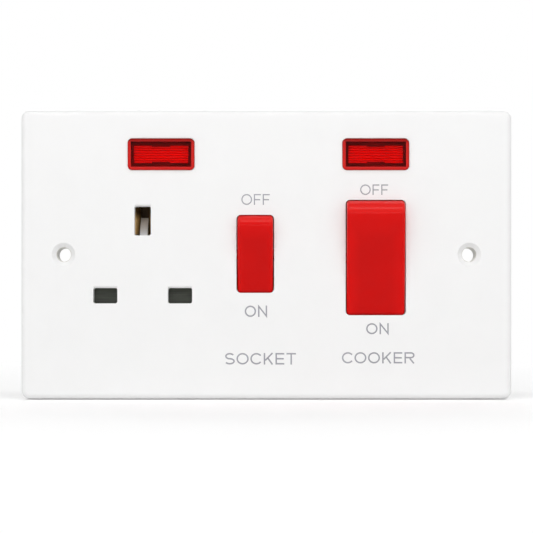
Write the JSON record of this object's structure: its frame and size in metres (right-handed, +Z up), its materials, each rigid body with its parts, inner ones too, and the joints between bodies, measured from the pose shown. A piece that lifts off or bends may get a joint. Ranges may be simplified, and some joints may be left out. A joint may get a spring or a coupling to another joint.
{
  "type": "cooker control unit",
  "caption": "White wall plate with a shuttered three-pin socket and its small red rocker, a large red double-pole rocker for a cooker, red neon indicators and screw terminals behind.",
  "frame": {"origin": "middle of the two fixing holes on the wall plane, at the rear edge of the plate's rim", "axes": "+X right seen from the front, +Y into the wall, +Z up; the front faces -Y"},
  "size_m": [0.146, 0.0347, 0.086],
  "materials": {
    "white_moulding": "gloss",
    "base_moulding": "satin",
    "red_rocker": "gloss",
    "red_lens": "gloss",
    "natural_moulding": "satin",
    "grey_shutter": "satin",
    "neon_glass": "gloss",
    "resistor_coat": "satin",
    "brass": "satin",
    "zinc_steel": "satin",
    "spring_steel": "satin",
    "contact_silver": "satin",
    "plunger_nylon": "satin"
  },
  "bodies": {
    "unit": {"base_screws": "zinc_steel", "cooker_line_in_terminal": "brass", "cooker_line_out_terminal": "brass", "cooker_neon_capsule": "natural_moulding", "cooker_neon_lamp": "neon_glass", "cooker_neon_lens": "red_lens", "cooker_neon_resistor": "resistor_coat", "cooker_neutral_in_terminal": "brass", "cooker_neutral_out_terminal": "brass", "earth_terminal": "brass", "fixed_contact_tips": "contact_silver", "front_plate": "white_moulding", "line_link": "brass", "neutral_link": "brass", "shutter_spring": "spring_steel", "socket_base": "base_moulding", "socket_earth_contact": "brass", "socket_line_contact": "brass", "socket_neon_capsule": "natural_moulding", "socket_neon_lamp": "neon_glass", "socket_neon_lens": "red_lens", "socket_neon_resistor": "resistor_coat", "socket_neutral_contact": "brass", "switch_base": "base_moulding", "terminal_screws": "brass"},
    "cooker_rocker": {"cooker_rocker": "red_rocker", "cooker_line_plunger_spring": "spring_steel", "cooker_neutral_plunger_spring": "spring_steel"},
    "cooker_line_plunger": {"cooker_line_plunger": "plunger_nylon"},
    "cooker_neutral_plunger": {"cooker_neutral_plunger": "plunger_nylon"},
    "cooker_line_contact": {"cooker_line_moving_contact": "brass", "cooker_line_moving_tip": "contact_silver"},
    "cooker_neutral_contact": {"cooker_neutral_moving_contact": "brass", "cooker_neutral_moving_tip": "contact_silver"},
    "socket_rocker": {"socket_rocker": "red_rocker", "socket_plunger_spring": "spring_steel"},
    "socket_plunger": {"socket_plunger": "plunger_nylon"},
    "socket_contact": {"socket_moving_contact": "brass", "socket_moving_tip": "contact_silver"},
    "shutter": {"shutter_slide": "natural_moulding", "shutter_blade": "grey_shutter"}
  },
  "joints": [
    {"name": "cooker_rocker_tilt", "type": "hinge", "parent": "unit", "child": "cooker_rocker", "pos_m": [0.0325, -0.0046, -0.0009], "axis": [-1, 0, 0], "range_deg": [0, 15]},
    {"name": "cooker_line_plunger_slide", "type": "slide", "parent": "cooker_rocker", "child": "cooker_line_plunger", "axis": [0, -0.9914, -0.1305], "range_m": [0, 0.0008], "stiffness_N_per_m": 100, "springref_m": -0.002, "deforming": ["cooker_line_plunger_spring"]},
    {"name": "cooker_neutral_plunger_slide", "type": "slide", "parent": "cooker_rocker", "child": "cooker_neutral_plunger", "axis": [0, -0.9914, -0.1305], "range_m": [0, 0.0008], "stiffness_N_per_m": 100, "springref_m": -0.002, "deforming": ["cooker_neutral_plunger_spring"]},
    {"name": "cooker_line_contact_rock", "type": "hinge", "parent": "unit", "child": "cooker_line_contact", "pos_m": [0.0282, 0.0088, -0.0009], "axis": [1, 0, 0], "range_deg": [0, 14]},
    {"name": "cooker_neutral_contact_rock", "type": "hinge", "parent": "unit", "child": "cooker_neutral_contact", "pos_m": [0.0368, 0.0088, -0.0009], "axis": [1, 0, 0], "range_deg": [0, 14]},
    {"name": "socket_rocker_tilt", "type": "hinge", "parent": "unit", "child": "socket_rocker", "pos_m": [-0.0033, -0.0046, 0.0002], "axis": [-1, 0, 0], "range_deg": [0, 15]},
    {"name": "socket_plunger_slide", "type": "slide", "parent": "socket_rocker", "child": "socket_plunger", "axis": [0, -0.9914, -0.1305], "range_m": [0, 0.0008], "stiffness_N_per_m": 100, "springref_m": -0.002, "deforming": ["socket_plunger_spring"]},
    {"name": "socket_contact_rock", "type": "hinge", "parent": "unit", "child": "socket_contact", "pos_m": [-0.0033, 0.0088, 0.0002], "axis": [1, 0, 0], "range_deg": [0, 14]},
    {"name": "shutter_slide_down", "type": "slide", "parent": "unit", "child": "shutter", "axis": [0, 0, -1], "range_m": [0, 0.006], "stiffness_N_per_m": 60, "springref_m": -0.004, "deforming": ["shutter_spring"]}
  ],
  "couplings": [
    {"joint": "cooker_line_contact_rock", "follows": "cooker_rocker_tilt", "ratio": 0.93333},
    {"joint": "cooker_neutral_contact_rock", "follows": "cooker_rocker_tilt", "ratio": 0.93333},
    {"joint": "socket_contact_rock", "follows": "socket_rocker_tilt", "ratio": 0.93333}
  ]
}
